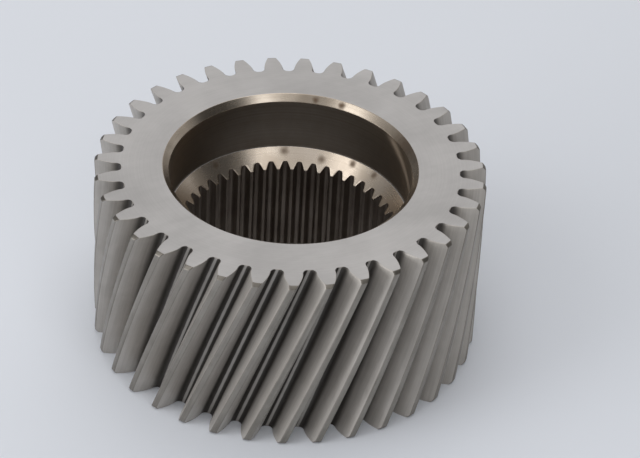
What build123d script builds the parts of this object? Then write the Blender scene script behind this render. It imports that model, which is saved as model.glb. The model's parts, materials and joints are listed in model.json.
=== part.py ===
from build123d import *
import os
from math import acos, atan, cos, pi, radians, sin, tan

# Helical gear whose bore holds a shrunk-in splined sleeve. Millimetres and degrees.
# Z is the gear's axis. The gear rests on the face z = 0, and there a space between two
# teeth is centred on +X, both on the helical teeth outside and on the splines inside.

# Helical teeth, in the normal section
tooth_count = 35
normal_module = 5.5
helix_angle = 20.0            # right hand: a tooth leans to the right as it rises
normal_pressure_angle = 20.0
profile_shift = -0.4          # in modules, like the next two
addendum = 1.3
dedendum = 1.4
root_fillet = 2.9
face_width = 108.0

# Turned shape of the rim's bore and edges
counterbore_depth = 34.0      # from the upper face down to the sleeve
shoulder_width = 1.0          # the step that stops the sleeve, pushed in from below
mouth_chamfer = 3.5           # at the counterbore's mouth
tip_chamfer = 1.6             # on the tooth ends, at the outside diameter

# Splines, involute with a 30 degree pressure angle
spline_count = 46
spline_module = 2.5
spline_pressure_angle = 30.0
spline_shift = 0.45           # in modules, like the next two
spline_tip_height = 0.8       # inside the shifted pitch circle
spline_root_depth = 0.55      # outside it
spline_root_fillet = 1.0

# Sleeve that carries the splines
sleeve_wall = 7.5             # from the spline roots to the sleeve's outside
lead_in_angle = 45.0          # between the lead-in cones and the axis
lead_in_land = 0.5            # flat ring between the counterbore and the upper cone
lower_lead_in_depth = 4.0     # depth of the cone at the lower end of the splines
seam_chamfer = 1.0            # where sleeve and rim meet on the lower face

# How the cutters are made
cutter_overrun = 2.0          # past every face that a cutter leaves
flank_points = 9
max_fillet_share = 0.45       # of the width at the bottom of a tooth space

# Sizes that follow from those above
transverse_module = normal_module / cos(radians(helix_angle))
pitch_radius = tooth_count * transverse_module / 2
tip_radius = pitch_radius + (addendum + profile_shift) * normal_module
root_radius = pitch_radius - (dedendum - profile_shift) * normal_module
lead = 2 * pi * pitch_radius / tan(radians(helix_angle))

spline_pitch_radius = spline_count * spline_module / 2
spline_root_radius = spline_pitch_radius + (spline_shift + spline_root_depth) * spline_module
spline_tip_radius = spline_pitch_radius + (spline_shift - spline_tip_height) * spline_module
sleeve_radius = spline_root_radius + sleeve_wall
sleeve_length = face_width - counterbore_depth
counterbore_radius = sleeve_radius - shoulder_width


def polar(radius, angle):
    """The point at a radius and an angle in radians."""
    return Vector(radius * cos(angle), radius * sin(angle))


def involute(pressure_angle):
    """The involute function, in radians."""
    return tan(pressure_angle) - pressure_angle


def half_tooth_angle(radius, reference_radius, pressure_angle, thickness):
    """Half the angle of an external involute tooth at a radius. The flank is radial below
    the base circle. Thickness is the tooth's arc on the reference circle."""
    base_radius = reference_radius * cos(pressure_angle)
    local_angle = acos(min(1.0, base_radius / radius))
    turned = involute(local_angle) - involute(pressure_angle)
    return thickness / (2 * reference_radius) - turned


def helical_space_angle(radius):
    """Half the angle of the space between two helical teeth at a radius."""
    normal_angle = radians(normal_pressure_angle)
    transverse_angle = atan(tan(normal_angle) / cos(radians(helix_angle)))
    thickness = transverse_module * (pi / 2 + 2 * profile_shift * tan(normal_angle))
    tooth = half_tooth_angle(radius, pitch_radius, transverse_angle, thickness)
    return pi / tooth_count - tooth


def spline_space_angle(radius):
    """Half the angle of a space between two splines, which is shaped like the mating
    shaft's tooth."""
    flank_angle = radians(spline_pressure_angle)
    thickness = spline_module * (pi / 2 + 2 * spline_shift * tan(flank_angle))
    return half_tooth_angle(radius, spline_pitch_radius, flank_angle, thickness)


def space_section(bottom_radius, open_radius, half_angle, fillet_radius):
    """One tooth space about +X: the arc at its bottom, two flanks, and an arc that closes
    its open side. The two corners at the bottom are rounded, as far as its width allows."""
    step = (open_radius - bottom_radius) / (flank_points - 1)
    radii = [bottom_radius + step * i for i in range(flank_points)]
    flank = Spline(*[polar(radius, half_angle(radius)) for radius in radii])
    arcs = []
    for radius in (bottom_radius, open_radius):
        angle = half_angle(radius)
        arcs.append(ThreePointArc(polar(radius, -angle), polar(radius, 0), polar(radius, angle)))
    face = make_face([arcs[0], flank, arcs[1], flank.mirror(Plane.XZ)]).face()
    corners = face.vertices().sort_by_distance(polar(bottom_radius, 0))[:2]
    bottom_width = 2 * bottom_radius * half_angle(bottom_radius)
    return face.fillet_2d(min(fillet_radius, max_fillet_share * bottom_width), corners)


def turned_ring(outline):
    """A ring turned about Z from its outline, a list of (radius, height) points."""
    return revolve(make_face(Polyline(*[(r, 0, z) for r, z in outline], close=True)), Axis.Z)


def around_axis(cutter, count):
    """Copies of a cutter, evenly spaced about Z."""
    return [cutter.rotate(Axis.Z, 360 / count * i) for i in range(count)]


def make_gear_rim():
    """The turned blank, less the spaces between its teeth."""
    blank = turned_ring([
        (sleeve_radius + seam_chamfer, 0),
        (tip_radius - tip_chamfer, 0),
        (tip_radius, tip_chamfer),
        (tip_radius, face_width - tip_chamfer),
        (tip_radius - tip_chamfer, face_width),
        (counterbore_radius + mouth_chamfer, face_width),
        (counterbore_radius, face_width - mouth_chamfer),
        (counterbore_radius, sleeve_length),
        (sleeve_radius, sleeve_length),
        (sleeve_radius, seam_chamfer),
    ])
    section = space_section(
        root_radius, tip_radius + cutter_overrun, helical_space_angle, root_fillet
    )
    cutter_length = face_width + 2 * cutter_overrun
    cutter = Solid.extrude_linear_with_rotation(
        section, (0, 0, 0), (0, 0, cutter_length), 360 * cutter_length / lead
    )
    cutter = cutter.rotate(Axis.Z, -360 * cutter_overrun / lead)
    cutter = cutter.translate((0, 0, -cutter_overrun))
    return blank - around_axis(cutter, tooth_count)


def make_spline_sleeve():
    """The ring from the lower face up to the shoulder, coned at both ends, less the
    spaces between its splines."""
    slope = tan(radians(lead_in_angle))
    upper_cone_radius = counterbore_radius - lead_in_land
    upper_cone_depth = (upper_cone_radius - spline_tip_radius) / slope
    blank = turned_ring([
        (spline_tip_radius, lower_lead_in_depth),
        (spline_tip_radius + lower_lead_in_depth * slope, 0),
        (sleeve_radius - seam_chamfer, 0),
        (sleeve_radius, seam_chamfer),
        (sleeve_radius, sleeve_length),
        (upper_cone_radius, sleeve_length),
        (spline_tip_radius, sleeve_length - upper_cone_depth),
    ])
    section = space_section(
        spline_root_radius, spline_tip_radius - cutter_overrun, spline_space_angle,
        spline_root_fillet,
    )
    cutter = extrude(section, sleeve_length + 2 * cutter_overrun, dir=(0, 0, 1))
    cutter = cutter.translate((0, 0, -cutter_overrun))
    return blank - around_axis(cutter, spline_count)


os.makedirs("parts", exist_ok=True)
export_step(make_gear_rim(), "parts/gear_rim.step")
export_step(make_spline_sleeve(), "parts/spline_sleeve.step")
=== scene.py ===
import json
from cmath import phase, rect
from math import acos, atan, cos, pi, radians, sin, sqrt, tan
import bmesh
import bpy
from mathutils import Matrix, Vector


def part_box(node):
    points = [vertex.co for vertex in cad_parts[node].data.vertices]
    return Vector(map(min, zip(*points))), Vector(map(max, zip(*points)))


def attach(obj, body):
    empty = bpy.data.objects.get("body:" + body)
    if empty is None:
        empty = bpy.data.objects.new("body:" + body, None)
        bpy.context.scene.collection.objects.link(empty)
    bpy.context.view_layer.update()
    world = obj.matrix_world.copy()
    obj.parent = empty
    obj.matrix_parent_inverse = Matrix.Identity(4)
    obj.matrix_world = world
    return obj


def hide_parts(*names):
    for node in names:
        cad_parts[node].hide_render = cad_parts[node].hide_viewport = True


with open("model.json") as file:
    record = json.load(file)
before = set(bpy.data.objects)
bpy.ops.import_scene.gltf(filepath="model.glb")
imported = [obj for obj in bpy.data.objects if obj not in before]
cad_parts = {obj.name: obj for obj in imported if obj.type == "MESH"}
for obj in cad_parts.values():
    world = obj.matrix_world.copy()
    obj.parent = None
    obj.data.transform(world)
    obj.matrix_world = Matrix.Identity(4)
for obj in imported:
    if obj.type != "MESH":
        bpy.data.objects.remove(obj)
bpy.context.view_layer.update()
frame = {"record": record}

# The gear's sizes, in metres, as in its CAD parts. Shifts, and the heights and depths of
# teeth, are in modules.
MM = 0.001
MOUNTS = {mount["name"]: mount for mount in frame["record"]["mounts"]}
FACE_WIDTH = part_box("gear_rim")[1].z
SLEEVE_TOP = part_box("spline_sleeve")[1].z
BORE_RADIUS = MOUNTS["counterbore"]["dims"]["r_mm"] * MM

TOOTH_COUNT = 35
NORMAL_MODULE = 5.5 * MM
HELIX_ANGLE = radians(20)
NORMAL_PRESSURE_ANGLE = radians(20)
PROFILE_SHIFT = -0.4
TOOTH_ADDENDUM = 1.3
TOOTH_DEDENDUM = 1.4
ROOT_FILLET = 2.9 * MM
TIP_CHAMFER = 1.6 * MM
MOUTH_CHAMFER = 3.5 * MM
SHOULDER_WIDTH = 1.0 * MM
SEAM_CHAMFER = 1.0 * MM

SPLINE_COUNT = 46
SPLINE_MODULE = 2.5 * MM
SPLINE_PRESSURE_ANGLE = radians(30)
SPLINE_SHIFT = 0.45
SPLINE_TIP_HEIGHT = 0.8
SPLINE_ROOT_DEPTH = 0.55
SPLINE_ROOT_FILLET = 1.0 * MM
LEAD_IN_LAND = 0.5 * MM
LOWER_LEAD_IN_DEPTH = 4.0 * MM

# Broken edges, which the CAD parts leave sharp
EDGE_ROUND = 0.3 * MM
TIP_EDGE_ROUND = 0.4 * MM
SPLINE_EDGE_ROUND = 0.25 * MM

# How finely the pieces are meshed
TOOTH_STEPS = (2, 11, 3, 2)                      # root, side, corner and tip
SPLINE_STEPS = (2, 9, 3, 2)
SIDE_POINTS = 16                                 # in a fillet, and in the flank above it
MAX_ROUND_SHARE = 0.45                           # of a tooth's depth, for its rounded tip
ROUND_ANGLES = (0, 20, 40, 60, 90)               # the rim's levels on a rounded edge
CHAMFER_LEVELS = (0.5, 0.8, 0.9, 1, 1.1, 1.25, 1.6)    # of the tip chamfer's depth
BODY_LEVELS = 14                                 # up the rim between its chamfers
EDGE_STEPS = 3                                   # round an edge of the turned shape
CONE_STEP = 0.6 * MM                             # down the splines' coned ends
SPLINE_LEVELS = 8
SPLINE_STRETCH = 20 * MM                         # a longer step is the splines' full length
HOLD = 1.5                                       # of a rounding, to a point that holds it
MERGE_DISTANCE = 1e-7
SHARP_ANGLE = radians(38)
FINISH_SHARP_ANGLE = radians(14)                 # between two finishes

TRANSVERSE_MODULE = NORMAL_MODULE / cos(HELIX_ANGLE)
PITCH_RADIUS = TOOTH_COUNT * TRANSVERSE_MODULE / 2
TIP_RADIUS = PITCH_RADIUS + (TOOTH_ADDENDUM + PROFILE_SHIFT) * NORMAL_MODULE
ROOT_RADIUS = PITCH_RADIUS - (TOOTH_DEDENDUM - PROFILE_SHIFT) * NORMAL_MODULE
INNER_RIM_RADIUS = ROOT_RADIUS - 2 * MM          # where teeth and bore meet on the faces
TWIST = tan(HELIX_ANGLE) / PITCH_RADIUS          # radians per metre of height
SPLINE_PITCH_RADIUS = SPLINE_COUNT * SPLINE_MODULE / 2
SPLINE_ROOT_RADIUS = SPLINE_PITCH_RADIUS + (SPLINE_SHIFT + SPLINE_ROOT_DEPTH) * SPLINE_MODULE
SPLINE_TIP_RADIUS = SPLINE_PITCH_RADIUS + (SPLINE_SHIFT - SPLINE_TIP_HEIGHT) * SPLINE_MODULE
SLEEVE_RADIUS = BORE_RADIUS + SHOULDER_WIDTH
CONE_TOP_RADIUS = BORE_RADIUS - LEAD_IN_LAND

# The camera. The lights, the stains, the painted shade and the painted reflection are placed by
# directions that are turned by VIEW_TURN, so that 0 is the camera's right and -90 is towards
# it.
CAMERA_PLACE = Vector((1.15571, -0.58000, 1.04258))
CAMERA_AIM = Vector((0.00817, 0.01573, 0.06596))
CAMERA_ROLL = radians(3.07)
LENS_MM = 164.4
SENSOR_WIDTH_MM = 36
VIEW_TURN = radians(63.35)


# ---------------------------------------------------------------- tooth sections
# A section is a list of complex numbers, points in the plane across the axis.

def involute(angle):
    """The involute function."""
    return tan(angle) - angle


def half_tooth_angle(radius, reference_radius, pressure_angle, thickness):
    """Half the angle of an external involute tooth at a radius, radial below its base."""
    local_angle = acos(min(1, reference_radius * cos(pressure_angle) / radius))
    turned = involute(local_angle) - involute(pressure_angle)
    return thickness / (2 * reference_radius) - turned


def helical_space_angle(radius):
    """Half the angle of the space between two helical teeth."""
    pressure_angle = atan(tan(NORMAL_PRESSURE_ANGLE) / cos(HELIX_ANGLE))
    thickness = TRANSVERSE_MODULE * (pi / 2 + 2 * PROFILE_SHIFT * tan(NORMAL_PRESSURE_ANGLE))
    half_tooth = half_tooth_angle(radius, PITCH_RADIUS, pressure_angle, thickness)
    return pi / TOOTH_COUNT - half_tooth


def spline_space_angle(radius):
    """Half the angle of the space between two splines."""
    thickness = SPLINE_MODULE * (pi / 2 + 2 * SPLINE_SHIFT * tan(SPLINE_PRESSURE_ANGLE))
    return half_tooth_angle(radius, SPLINE_PITCH_RADIUS, SPLINE_PRESSURE_ANGLE, thickness)


def rounded(start, corner, end, steps):
    """Points of the arc that joins two equal legs of a corner."""
    turn = pi if corner in (start, end) else phase((end - corner) / (start - corner))
    weight = abs(sin(turn / 2))
    points = []
    for i in range(steps + 1):
        t = i / steps
        shares = ((1 - t) ** 2, 2 * weight * t * (1 - t), t ** 2)
        point = shares[0] * start + shares[1] * corner + shares[2] * end
        points.append(point / sum(shares))
    return points


def between(low, high, steps):
    """Evenly spaced values, without the two ends."""
    return [low + (high - low) * i / steps for i in range(1, steps)]


def tooth_side(bottom, tip, space_angle, fillet):
    """A side of a tooth space as (radius, angle) points, from the end of its bottom round
    the fillet and up the flank to the tip radius."""
    away = 1 if tip > bottom else -1
    corner = rect(bottom, space_angle(bottom))
    up = bottom + away * fillet
    turn = abs(phase((rect(up, space_angle(up)) - corner) / (1j * corner)))
    leg = fillet * tan(turn / 2)
    low = bottom + away * leg
    start = rect(bottom, space_angle(bottom) - leg / bottom)
    points = rounded(start, corner, rect(low, space_angle(low)), SIDE_POINTS)
    points += [rect(r, space_angle(r)) for r in between(low, tip, SIDE_POINTS) + [tip]]
    return [(abs(point), phase(point)) for point in points]


def side_angle(side, radius):
    """The angle where a side reaches a radius, or its start if it doesn't."""
    for (r, angle), (next_r, next_angle) in zip(side, side[1:]):
        if r != next_r and (radius - r) * (radius - next_r) <= 0:
            return angle + (next_angle - angle) * (radius - r) / (next_r - r)
    return side[0][1]


def half_pitch(side, tip, count, tip_round, steps):
    """A section from the middle of a tooth space to the middle of a tooth. Where the tip
    radius is past the bottom of an inner tooth, it is part of a circle. Steps are the
    numbers of pieces of the bottom, the side, the tip's corner and the tip."""
    away = 1 if side[-1][0] > side[0][0] else -1
    bottom = side[0][0] if away * (tip - side[0][0]) > 0 else tip
    leg = min(tip_round, abs(tip - bottom) * MAX_ROUND_SHARE)
    high = tip - away * leg
    corner_angle = side_angle(side, tip)
    end_angle = corner_angle + leg / tip
    points = [rect(bottom, angle) for angle in [0] + between(0, side[0][1], steps[0])]
    for i in range(steps[1]):
        # Closest together at the bottom, where the fillet is
        radius = bottom + (high - bottom) * (i / steps[1]) ** 2
        points.append(rect(radius, side_angle(side, radius)))
    points += rounded(rect(high, side_angle(side, high)), rect(tip, corner_angle),
                      rect(tip, end_angle), steps[2])
    points += [rect(tip, angle) for angle in between(end_angle, pi / count, steps[3])]
    return points + [rect(tip, pi / count)]


def whole_section(half, count, turn):
    """A closed section of count teeth from a half pitch, turned about the axis."""
    pitch = [point.conjugate() for point in half[:0:-1]] + half[:-1]
    return [
        point * rect(1, 2 * pi * tooth / count + turn)
        for tooth in range(count) for point in pitch
    ]


def moved_inward(section, distance):
    """A section offset towards the axis."""
    moved = []
    for i, point in enumerate(section):
        along = section[(i + 1) % len(section)] - section[i - 1]
        moved.append(point + 1j * along / abs(along) * distance)
    return moved


def circle(radius, points, start):
    """A section with evenly spaced points, the first at the start angle."""
    return [rect(radius, start + 2 * pi * i / points) for i in range(points)]


def turned_outline(corners, leg):
    """A lathe outline of (radius, height) corners, each but the first and last rounded,
    with a point close on each side to hold the rounding."""
    corners = [complex(*corner) for corner in corners]
    outline = [corners[0]]
    for before, corner, after in zip(corners, corners[1:], corners[2:]):
        back = (before - corner) / abs(before - corner)
        ahead = (after - corner) / abs(after - corner)
        outline.append(corner + back * leg * HOLD)
        outline += rounded(corner + back * leg, corner, corner + ahead * leg, EDGE_STEPS)
        outline.append(corner + ahead * leg * HOLD)
    return outline + [corners[-1]]


# ---------------------------------------------------------------- meshes

def ring_stack(name, rings, finishes, materials):
    """A closed surface through rings of equally many points, the last one joined to the
    first. A ring is (section, height), and the finish of the band from each ring to the
    next is a number for all its faces or a list of them that repeats round it."""
    count = len(rings[0][0])
    vertices = [(p.real, p.imag, height) for section, height in rings for p in section]
    faces, slots = [], []
    for i, finish in enumerate(finishes):
        pattern = finish if isinstance(finish, list) else [finish]
        here, there = i * count, (i + 1) % len(rings) * count
        for j in range(count):
            k = (j + 1) % count
            faces.append((here + j, here + k, there + k, there + j))
            slots.append(pattern[j % len(pattern)])
    mesh = bpy.data.meshes.new(name)
    mesh.from_pydata(vertices, [], faces)
    for material in materials:
        mesh.materials.append(material)
    mesh.polygons.foreach_set("material_index", slots)
    shape = bmesh.new()
    shape.from_mesh(mesh)
    bmesh.ops.remove_doubles(shape, verts=shape.verts, dist=MERGE_DISTANCE)
    bmesh.ops.recalc_face_normals(shape, faces=shape.faces)
    for face in shape.faces:
        face.smooth = True
    for edge in shape.edges:
        finishes_meet = len({face.material_index for face in edge.link_faces}) > 1
        limit = FINISH_SHARP_ANGLE if finishes_meet else SHARP_ANGLE
        edge.smooth = edge.calc_face_angle(0) < limit
    shape.to_mesh(mesh)
    shape.free()
    piece = bpy.data.objects.new(name, mesh)
    bpy.context.scene.collection.objects.link(piece)
    return piece


TOOTH_SIDE = tooth_side(ROOT_RADIUS, TIP_RADIUS, helical_space_angle, ROOT_FILLET)
SPLINE_SIDE = tooth_side(SPLINE_ROOT_RADIUS, SPLINE_TIP_RADIUS, spline_space_angle,
                         SPLINE_ROOT_FILLET)


def tooth_ring(height):
    """The rim's toothed section at a height, chamfered and rounded at both ends."""
    depth = min(height, FACE_WIDTH - height)
    cut = TIP_CHAMFER - depth
    cut = (cut + sqrt(cut ** 2 + EDGE_ROUND ** 2)) / 2
    half = half_pitch(TOOTH_SIDE, TIP_RADIUS - cut, TOOTH_COUNT, TIP_EDGE_ROUND, TOOTH_STEPS)
    section = whole_section(half, TOOTH_COUNT, TWIST * height)
    left = max(0, EDGE_ROUND - depth)
    return moved_inward(section, EDGE_ROUND - sqrt(EDGE_ROUND ** 2 - left ** 2))


def make_rim(materials):
    """The helical rim: its teeth from the lower face up, then its bore back down."""
    face, flank, turned, bore, mouth = range(5)
    depths = [EDGE_ROUND * (1 - cos(radians(angle))) for angle in ROUND_ANGLES]
    depths += [TIP_CHAMFER * level for level in CHAMFER_LEVELS]
    body = between(depths[-1], FACE_WIDTH - depths[-1], BODY_LEVELS)
    heights = depths + body + [FACE_WIDTH - depth for depth in depths[::-1]]
    rings = [(tooth_ring(height), height) for height in heights]
    points = len(rings[0][0])
    tip_faces = TOOTH_STEPS[2] + TOOTH_STEPS[3]
    flank_faces = TOOTH_STEPS[0] + TOOTH_STEPS[1]
    across = [turned] * tip_faces + [flank] * 2 * flank_faces + [turned] * tip_faces
    finishes = [across] * (len(rings) - 1)

    outline = turned_outline([
        (INNER_RIM_RADIUS, FACE_WIDTH),
        (BORE_RADIUS + MOUTH_CHAMFER, FACE_WIDTH),
        (BORE_RADIUS, FACE_WIDTH - MOUTH_CHAMFER),
        (BORE_RADIUS, SLEEVE_TOP),
        (SLEEVE_RADIUS, SLEEVE_TOP),
        (SLEEVE_RADIUS, SEAM_CHAMFER),
        (SLEEVE_RADIUS + SEAM_CHAMFER, 0),
        (INNER_RIM_RADIUS, 0),
    ], EDGE_ROUND)
    first, last = phase(rings[0][0][0]), phase(rings[-1][0][0])
    upper_hold = moved_inward(rings[-1][0], EDGE_ROUND * (HOLD - 1))
    lower_hold = moved_inward(rings[0][0], EDGE_ROUND * (HOLD - 1))
    rings.append((upper_hold, FACE_WIDTH))
    finishes += [face, face]
    # The flat faces take up the helix's twist, so that the bore's walls stay straight.
    turns = [last] + [(first + last) / 2] * (len(outline) - 2) + [first]
    for here, there, turn in zip(outline, outline[1:] + [None], turns):
        rings.append((circle(here.real, points, turn), here.imag))
        if there is None:
            continue
        middle = (here + there) / 2
        if middle.imag > FACE_WIDTH - MOUTH_CHAMFER and here.real < INNER_RIM_RADIUS:
            level = abs(middle.imag - FACE_WIDTH) < EDGE_ROUND / 10
            finishes.append(face if level else mouth)
        elif here.real > SLEEVE_RADIUS + SEAM_CHAMFER or there.imag == 0:
            finishes.append(face)
        else:
            finishes.append(bore)
    rings.append((lower_hold, 0))
    finishes += [face, face]
    return ring_stack("helical_rim", rings, finishes, materials)


def make_sleeve(materials):
    """The splined sleeve: its splines from the lower face up, then its outside back down."""
    spline, cone, outside = range(3)
    cone_drop = CONE_TOP_RADIUS - SPLINE_ROOT_RADIUS
    lower_edge = SPLINE_TIP_RADIUS + LOWER_LEAD_IN_DEPTH
    face_middle = (lower_edge + SLEEVE_RADIUS) / 2
    outline = turned_outline([
        (face_middle, 0),
        (lower_edge, 0),
        (SPLINE_ROOT_RADIUS, lower_edge - SPLINE_ROOT_RADIUS),
        (SPLINE_TIP_RADIUS, LOWER_LEAD_IN_DEPTH),
        (SPLINE_TIP_RADIUS, SLEEVE_TOP - CONE_TOP_RADIUS + SPLINE_TIP_RADIUS),
        (SPLINE_ROOT_RADIUS, SLEEVE_TOP - cone_drop),
        (CONE_TOP_RADIUS, SLEEVE_TOP),
        (SLEEVE_RADIUS, SLEEVE_TOP),
        (SLEEVE_RADIUS, SEAM_CHAMFER),
        (SLEEVE_RADIUS - SEAM_CHAMFER, 0),
        (face_middle, 0),
    ], SPLINE_EDGE_ROUND)
    tip_faces = SPLINE_STEPS[2] + SPLINE_STEPS[3]
    side_faces = SPLINE_STEPS[0] + SPLINE_STEPS[1]
    across = [cone] * tip_faces + [spline] * 2 * side_faces + [cone] * tip_faces
    rings, finishes = [], []
    for here, there in zip(outline, outline[1:]):
        inside = max(here.real, there.real) < SPLINE_ROOT_RADIUS + MM
        upright = abs(there.imag - here.imag) > SPLINE_STRETCH
        steps = SPLINE_LEVELS if upright else max(1, round(abs(there - here) / CONE_STEP))
        for i in range(steps if inside else 1):
            point = here + (there - here) * i / steps
            half = half_pitch(SPLINE_SIDE, point.real, SPLINE_COUNT, SPLINE_EDGE_ROUND,
                              SPLINE_STEPS)
            rings.append((whole_section(half, SPLINE_COUNT, 0), point.imag))
            if max(here.real, there.real) > CONE_TOP_RADIUS or there.imag == here.imag:
                finishes.append(outside)
            elif max(here.real, there.real) <= SPLINE_ROOT_RADIUS and not upright:
                finishes.append(across)
            else:
                finishes.append(spline if upright else cone)
    return ring_stack("splined_sleeve", rings, finishes, materials)


# ---------------------------------------------------------------- materials

def add(tree, kind, inputs=None, **settings):
    """A shader node with its settings, its inputs set or linked."""
    node = tree.nodes.new("ShaderNode" + kind)
    for name, value in settings.items():
        setattr(node, name, value)
    for key, value in (inputs or {}).items():
        if isinstance(value, bpy.types.NodeSocket):
            tree.links.new(value, node.inputs[key])
        else:
            node.inputs[key].default_value = value
    return node


def calc(tree, operation, *values):
    """A Math node's result."""
    return add(tree, "Math", dict(enumerate(values)), operation=operation).outputs[0]


def ramped(tree, value, low, high, to_low=0.0, to_high=1.0):
    """The value's range low to high taken smoothly to another range, and held outside it."""
    inputs = {0: value, 1: low, 2: high, 3: to_low, 4: to_high}
    return add(tree, "MapRange", inputs, interpolation_type="SMOOTHSTEP").outputs[0]


def weighted(tree, *layers):
    """The sum of (value, share) layers, each value times its share."""
    total = 0.0
    for value, share in layers:
        total = calc(tree, "MULTIPLY_ADD", value, share, total)
    return total


def mixed(tree, share, first, second):
    """A colour between the first, at a share of 0, and the second, at 1."""
    return add(tree, "Mix", {0: share, 6: first, 7: second}, data_type="RGBA").outputs[2]


def noise(tree, vector, scale, detail, roughness=0.55):
    """A noise texture's value at a place, from 0 to 1."""
    inputs = {"Vector": vector, "Scale": scale, "Detail": detail, "Roughness": roughness}
    return add(tree, "TexNoise", inputs).outputs["Fac"]


def stretched(tree, x, y, z, by):
    """A vector of the three coordinates, each times its own number."""
    parts = [calc(tree, "MULTIPLY", value, number) for value, number in zip((x, y, z), by)]
    return add(tree, "CombineXYZ", dict(enumerate(parts))).outputs[0]


class Place:
    """A surface point's coordinates on the gear, as sockets of a material. The place
    turned is the same all the way round the axis, and along_x and along_y are the same
    all the way along a tooth."""

    def __init__(self, tree):
        position = add(tree, "TexCoord").outputs["Object"]
        self.position = position
        x, y, z = add(tree, "SeparateXYZ", {0: position}).outputs
        self.x, self.y, self.height = x, y, z
        squares = calc(tree, "ADD", calc(tree, "MULTIPLY", x, x), calc(tree, "MULTIPLY", y, y))
        self.radius = calc(tree, "SQRT", squares)
        self.turned = add(tree, "CombineXYZ", {0: self.radius, 1: z}).outputs[0]
        back = calc(tree, "MULTIPLY", z, -TWIST)
        cosine, sine = calc(tree, "COSINE", back), calc(tree, "SINE", back)
        self.along_x = calc(tree, "SUBTRACT", calc(tree, "MULTIPLY", x, cosine),
                            calc(tree, "MULTIPLY", y, sine))
        self.along_y = calc(tree, "ADD", calc(tree, "MULTIPLY", x, sine),
                            calc(tree, "MULTIPLY", y, cosine))


def finished(material, colour, roughness, bump, distance, metallic=1.0):
    """Ends a material: a metal whose colour, roughness and bump are sockets of its tree,
    with the distance that the bump's full height stands for."""
    tree = material.node_tree
    shader = tree.nodes["Principled BSDF"]
    shader.inputs["Metallic"].default_value = metallic
    tree.links.new(colour, shader.inputs["Base Color"])
    tree.links.new(roughness, shader.inputs["Roughness"])
    inputs = {"Height": bump, "Distance": distance, "Strength": 1.0}
    tree.links.new(add(tree, "Bump", inputs).outputs[0], shader.inputs["Normal"])
    return material


def new_material(name):
    """A material and its node tree, which holds a Principled shader."""
    material = bpy.data.materials.new(name)
    material.use_nodes = True
    return material, material.node_tree


def face_material():
    """The ground faces: even, matte and pale, with faint turning rings and clouds."""
    material, tree = new_material("ground_face")
    place = Place(tree)
    rings = noise(tree, place.turned, 1400, 2)
    clouds = noise(tree, place.position, 22, 4, 0.6)
    marks = noise(tree, stretched(tree, place.x, place.y, place.height, (1, 0.12, 1)), 260, 3)
    mix = weighted(tree, (rings, 0.2), (clouds, 0.65), (marks, 0.15))
    colour = mixed(tree, ramped(tree, mix, 0.3, 0.7), (0.41, 0.40, 0.396, 1),
                   (0.485, 0.473, 0.468, 1))
    roughness = ramped(tree, mix, 0.3, 0.7, 0.50, 0.42)
    return finished(material, colour, roughness, rings, 0.002 * MM)


def flank_material():
    """The tooth flanks: hobbed and ground steel with long marks along the teeth, darker
    towards the root with painted shade."""
    material, tree = new_material("tooth_flank")
    place = Place(tree)
    lines = noise(tree, stretched(tree, place.along_x, place.along_y, place.height,
                                  (1, 1, 0.02)), 900, 3, 0.6)
    bands = noise(tree, stretched(tree, place.along_x, place.along_y, place.height,
                                  (1, 1, 0.12)), 160, 3, 0.6)
    clouds = noise(tree, place.position, 30, 4, 0.6)
    mix = weighted(tree, (lines, 0.3), (clouds, 0.4), (bands, 0.3))
    base_tone = mixed(tree, ramped(tree, mix, 0.32, 0.68), (0.37, 0.348, 0.322, 1),
                  (0.51, 0.485, 0.455, 1))
    # Painted shade fills the fillets and fades out above them; there is less of it on the
    # bottom between them, where the root land catches light.
    painted_root_shade = ramped(tree, place.radius, ROOT_RADIUS + 0.8 * MM, ROOT_RADIUS + 5.5 * MM, 0.95, 0)
    bottom = ramped(tree, place.radius, ROOT_RADIUS + 0.01 * MM, ROOT_RADIUS + 0.09 * MM,
                    0.2, 1)
    colour = mixed(tree, calc(tree, "MULTIPLY", painted_root_shade, bottom), base_tone,
                   (0.035, 0.03, 0.026, 1))
    roughness = ramped(tree, mix, 0.3, 0.7, 0.52, 0.42)
    return finished(material, colour, roughness, lines, 0.004 * MM, 0.5)


def tip_material():
    """The outside of the teeth, worn nearly as smooth as their sides, in a darker copy of the
    flanks' steel that is painted shade, with more painted shade on the chamfers."""
    material, tree = new_material("tooth_tip")
    place = Place(tree)
    streaks = noise(tree, stretched(tree, place.along_x, place.along_y, place.height,
                                    (1, 1, 0.05)), 420, 3)
    clouds = noise(tree, place.position, 60, 3, 0.6)
    mix = weighted(tree, (streaks, 0.5), (clouds, 0.5))
    # The tips' colour is a darker copy of the flanks' steel: painted shade that holds down
    # their highlights.
    shaded_tip_steel = mixed(tree, ramped(tree, mix, 0.3, 0.7), (0.235, 0.217, 0.192, 1),
                 (0.325, 0.303, 0.272, 1))
    # Painted shade darkens the chamfers at both faces.
    from_middle = calc(tree, "ABSOLUTE", calc(tree, "SUBTRACT", place.height, FACE_WIDTH / 2))
    painted_chamfer_shade = ramped(tree, from_middle, FACE_WIDTH / 2 - 1.8 * MM,
                     FACE_WIDTH / 2 - 1.3 * MM, 0, 0.45)
    colour = mixed(tree, painted_chamfer_shade, shaded_tip_steel, (0.07, 0.065, 0.055, 1))
    roughness = ramped(tree, mix, 0.3, 0.7, 0.44, 0.36)
    return finished(material, colour, roughness, streaks, 0.002 * MM)


# The painted reflection: a pale streak that slants up the bore wall, from the camera's right
# towards the back
REFLECTION_START_HEIGHT = 83.4 * MM                  # in the direction 0
REFLECTION_RISE = 32.7 * MM                          # per radian
REFLECTION_HALF_WIDTH = 6 * MM


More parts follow.
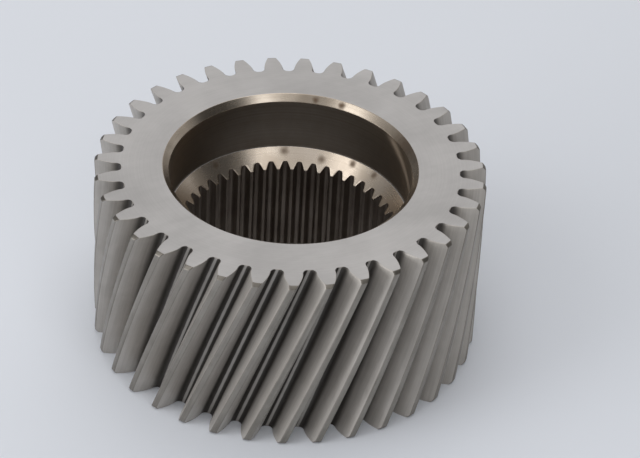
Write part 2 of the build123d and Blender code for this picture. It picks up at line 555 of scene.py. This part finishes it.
def bore_material():
    """The bore wall: dark, smooth and brown, with rings round it and a painted reflection, a
    pale streak.
    """
    material, tree = new_material("bore_wall")
    place = Place(tree)
    rings = noise(tree, place.turned, 900, 2)
    clouds = noise(tree, place.position, 28, 4, 0.65)
    mix = weighted(tree, (rings, 0.4), (clouds, 0.6))
    wall = mixed(tree, ramped(tree, mix, 0.35, 0.7), (0.27, 0.23, 0.19, 1),
                 (0.36, 0.31, 0.257, 1))
    direction = calc(tree, "SUBTRACT", calc(tree, "ARCTAN2", place.y, place.x), VIEW_TURN)
    line = calc(tree, "MULTIPLY_ADD", direction, REFLECTION_RISE, REFLECTION_START_HEIGHT)
    off_line = calc(tree, "ABSOLUTE", calc(tree, "SUBTRACT", place.height, line))
    across = ramped(tree, off_line, 0, REFLECTION_HALF_WIDTH, 0.8, 0)
    near_end = ramped(tree, direction, radians(-8), radians(12))
    far_end = ramped(tree, direction, radians(30), radians(42), 1, 0)
    painted_reflection = calc(tree, "MULTIPLY", across, calc(tree, "MULTIPLY", near_end, far_end))
    colour = mixed(tree, painted_reflection, wall, (0.80, 0.68, 0.55, 1))
    even = ramped(tree, mix, 0.3, 0.7, 0.40, 0.30)
    roughness = calc(tree, "MULTIPLY_ADD", painted_reflection, 0.2, even)
    return finished(material, colour, roughness, rings, 0.001 * MM)


def cone_material(name, dull, bright, patchy, stains_and_shade):
    """Turned chamfers: warm and glossy, with dull patches and soft dark spots, stains and
    painted shade as listed.
    """
    material, tree = new_material(name)
    place = Place(tree)
    rings = noise(tree, place.turned, 1300, 2)
    clouds = noise(tree, place.position, 45, 4, 0.6)
    mix = weighted(tree, (rings, 0.25), (clouds, 0.75))
    base_tone = mixed(tree, ramped(tree, mix, 0.3, 0.7), dull, bright)
    patches = ramped(tree, noise(tree, place.position, 30, 2), 0.42, 0.62, 0, patchy)
    base_tone = mixed(tree, patches, base_tone, (0.10, 0.08, 0.06, 1))
    blotch = noise(tree, place.position, 420, 2)
    dark = 0.0
    for direction, radius, height, size, strength in stains_and_shade:
        spot = rect(radius, radians(direction) + VIEW_TURN)
        spread = add(tree, "VectorMath", {0: place.position, 1: (spot.real, spot.imag, height)},
                     operation="DISTANCE").outputs["Value"]
        ragged = calc(tree, "MULTIPLY_ADD", blotch, size * 0.6, spread)
        mark = ramped(tree, ragged, size * 0.4, size * 1.6, strength, 0)
        dark = calc(tree, "MAXIMUM", dark, mark)
    colour = mixed(tree, dark, base_tone, (0.11, 0.075, 0.05, 1))
    even = ramped(tree, mix, 0.3, 0.7, 0.30, 0.22)
    roughness = calc(tree, "MULTIPLY_ADD", dark, 0.2, even)
    return finished(material, colour, roughness, rings, 0.0007 * MM)


def spline_material():
    """The splines' sides and roots: dark brown, with marks along them."""
    material, tree = new_material("spline_side")
    place = Place(tree)
    lines = noise(tree, stretched(tree, place.x, place.y, place.height, (1, 1, 0.02)), 800, 3)
    clouds = noise(tree, place.position, 35, 4, 0.65)
    mix = weighted(tree, (lines, 0.45), (clouds, 0.55))
    colour = mixed(tree, ramped(tree, mix, 0.3, 0.7), (0.15, 0.122, 0.10, 1),
                   (0.25, 0.212, 0.178, 1))
    roughness = ramped(tree, mix, 0.3, 0.7, 0.52, 0.42)
    return finished(material, colour, roughness, lines, 0.004 * MM)


# Stains and painted shade, each with its direction in degrees, its radius and height on the
# gear, its size and its strength. The mouth's large one is painted shade, a dull stretch at the
# camera's right.
CONE_STAINS = [
    (43, 64.6 * MM, 72.1 * MM, 2.8 * MM, 0.85),
    (57, 64.6 * MM, 72.1 * MM, 2.6 * MM, 0.85),
    (74, 62.5 * MM, 70 * MM, 3.0 * MM, 0.8),
    (93.5, 64.5 * MM, 72 * MM, 3.2 * MM, 0.8),
    (132, 64 * MM, 71.5 * MM, 3.2 * MM, 0.8),
]
MOUTH_STAINS_AND_SHADE = [
    # Painted shade: a broad dark stretch on the mouth chamfer at the camera's right.
    (22, 68.2 * MM, 106 * MM, 15 * MM, 0.75),
    (66.5, 68.2 * MM, 106 * MM, 2.4 * MM, 0.95),
    (79.5, 68.2 * MM, 106 * MM, 2.4 * MM, 0.95),
]


# ---------------------------------------------------------------- pieces

face_finish = face_material()
mouth_finish = cone_material("mouth_chamfer", (0.42, 0.36, 0.295, 1), (0.53, 0.47, 0.40, 1),
                             0.4, MOUTH_STAINS_AND_SHADE)
cone_finish = cone_material("lead_in_cone", (0.48, 0.41, 0.335, 1), (0.60, 0.53, 0.455, 1),
                            0.15, CONE_STAINS)
rim = make_rim([face_finish, flank_material(), tip_material(), bore_material(), mouth_finish])
sleeve = make_sleeve([spline_material(), cone_finish, face_finish])
for piece, node, slot in ((rim, "gear_rim", "gear_steel"),
                          (sleeve, "spline_sleeve", "sleeve_steel")):
    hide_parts(node)
    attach(piece, "root")


# ---------------------------------------------------------------- floor, lights, camera

FLOOR_REACH = 12                                 # metres each way


def make_floor():
    """A wide sheet of pale matte paper."""
    mesh = bpy.data.meshes.new("floor")
    corners = [(FLOOR_REACH * x, FLOOR_REACH * y, 0)
               for x, y in ((-1, -1), (1, -1), (1, 1), (-1, 1))]
    mesh.from_pydata(corners, [], [(0, 1, 2, 3)])
    material, tree = new_material("floor_paper")
    clouds = noise(tree, add(tree, "TexCoord").outputs["Object"], 1.5, 2)
    colour = mixed(tree, clouds, (0.75, 0.785, 0.85, 1), (0.78, 0.815, 0.88, 1))
    shader = tree.nodes["Principled BSDF"]
    tree.links.new(colour, shader.inputs["Base Color"])
    shader.inputs["Roughness"].default_value = 0.9
    shader.inputs["Specular IOR Level"].default_value = 0.1
    mesh.materials.append(material)
    floor = bpy.data.objects.new("floor", mesh)
    bpy.context.scene.collection.objects.link(floor)


def soft_box(name, azimuth, elevation, distance, size, power):
    """An area light that looks at the gear. Azimuth and elevation are in degrees."""
    turn = radians(azimuth) + VIEW_TURN
    level = distance * cos(radians(elevation))
    place = Vector((level * cos(turn), level * sin(turn), distance * sin(radians(elevation))))
    light = bpy.data.lights.new(name, "AREA")
    light.shape = "RECTANGLE"
    light.size, light.size_y = size
    light.energy = power
    lamp = bpy.data.objects.new(name, light)
    lamp.matrix_world = (Matrix.Translation(place + Vector((0, 0, FACE_WIDTH / 2)))
                         @ place.to_track_quat("Z", "Y").to_matrix().to_4x4())
    bpy.context.scene.collection.objects.link(lamp)


def make_world():
    """A pale room, darker towards the horizon, behind the gear's left and at its right."""
    bpy.context.scene.view_settings.view_transform = "Standard"
    world = bpy.data.worlds.new("studio")
    bpy.context.scene.world = world
    world.use_nodes = True
    tree = world.node_tree
    direction = add(tree, "TexCoord").outputs["Generated"]
    height = add(tree, "SeparateXYZ", {0: direction}).outputs[2]
    rise = ramped(tree, height, 0.0, 0.6, 0.40, 0.72)
    left_back = rect(1, radians(140) + VIEW_TURN)
    towards = add(tree, "VectorMath", {0: direction, 1: (left_back.real, left_back.imag, 0)},
                  operation="DOT_PRODUCT").outputs["Value"]
    rises = radians(39)
    right = rect(cos(rises), radians(-13) + VIEW_TURN)
    beside = add(tree, "VectorMath", {0: direction, 1: (right.real, right.imag, sin(rises))},
                 operation="DOT_PRODUCT").outputs["Value"]
    shade = calc(tree, "MULTIPLY", ramped(tree, towards, 0.3, 0.95, 1.0, 0.35),
                 ramped(tree, beside, 0.84, 0.97, 1.0, 0.1))
    background = tree.nodes["Background"]
    background.inputs["Color"].default_value = (1.0, 0.985, 0.97, 1)
    tree.links.new(calc(tree, "MULTIPLY", rise, shade), background.inputs["Strength"])


def make_camera():
    """The camera that took the photograph, as solved from the gear's circles."""
    data = bpy.data.cameras.new("camera")
    data.lens = LENS_MM
    data.sensor_width = SENSOR_WIDTH_MM
    camera = bpy.data.objects.new("camera", data)
    towards = (CAMERA_AIM - CAMERA_PLACE).to_track_quat("-Z", "Y").to_matrix().to_4x4()
    camera.matrix_world = (Matrix.Translation(CAMERA_PLACE) @ towards
                           @ Matrix.Rotation(CAMERA_ROLL, 4, "Z"))
    bpy.context.scene.collection.objects.link(camera)
    bpy.context.scene.camera = camera


make_floor()
soft_box("left_box", -154, 47, 2.0, (0.7, 0.7), 2.9)
soft_box("right_box", -57, 51, 2.0, (0.6, 0.6), 1.45)
soft_box("back_box", 95, 40, 1.6, (1.2, 0.9), 2.0)
soft_box("low_box", -158, 12, 1.8, (1.4, 0.6), 11)
soft_box("top_box", 0, 89, 2.2, (1.6, 1.6), 7)
make_world()
make_camera()
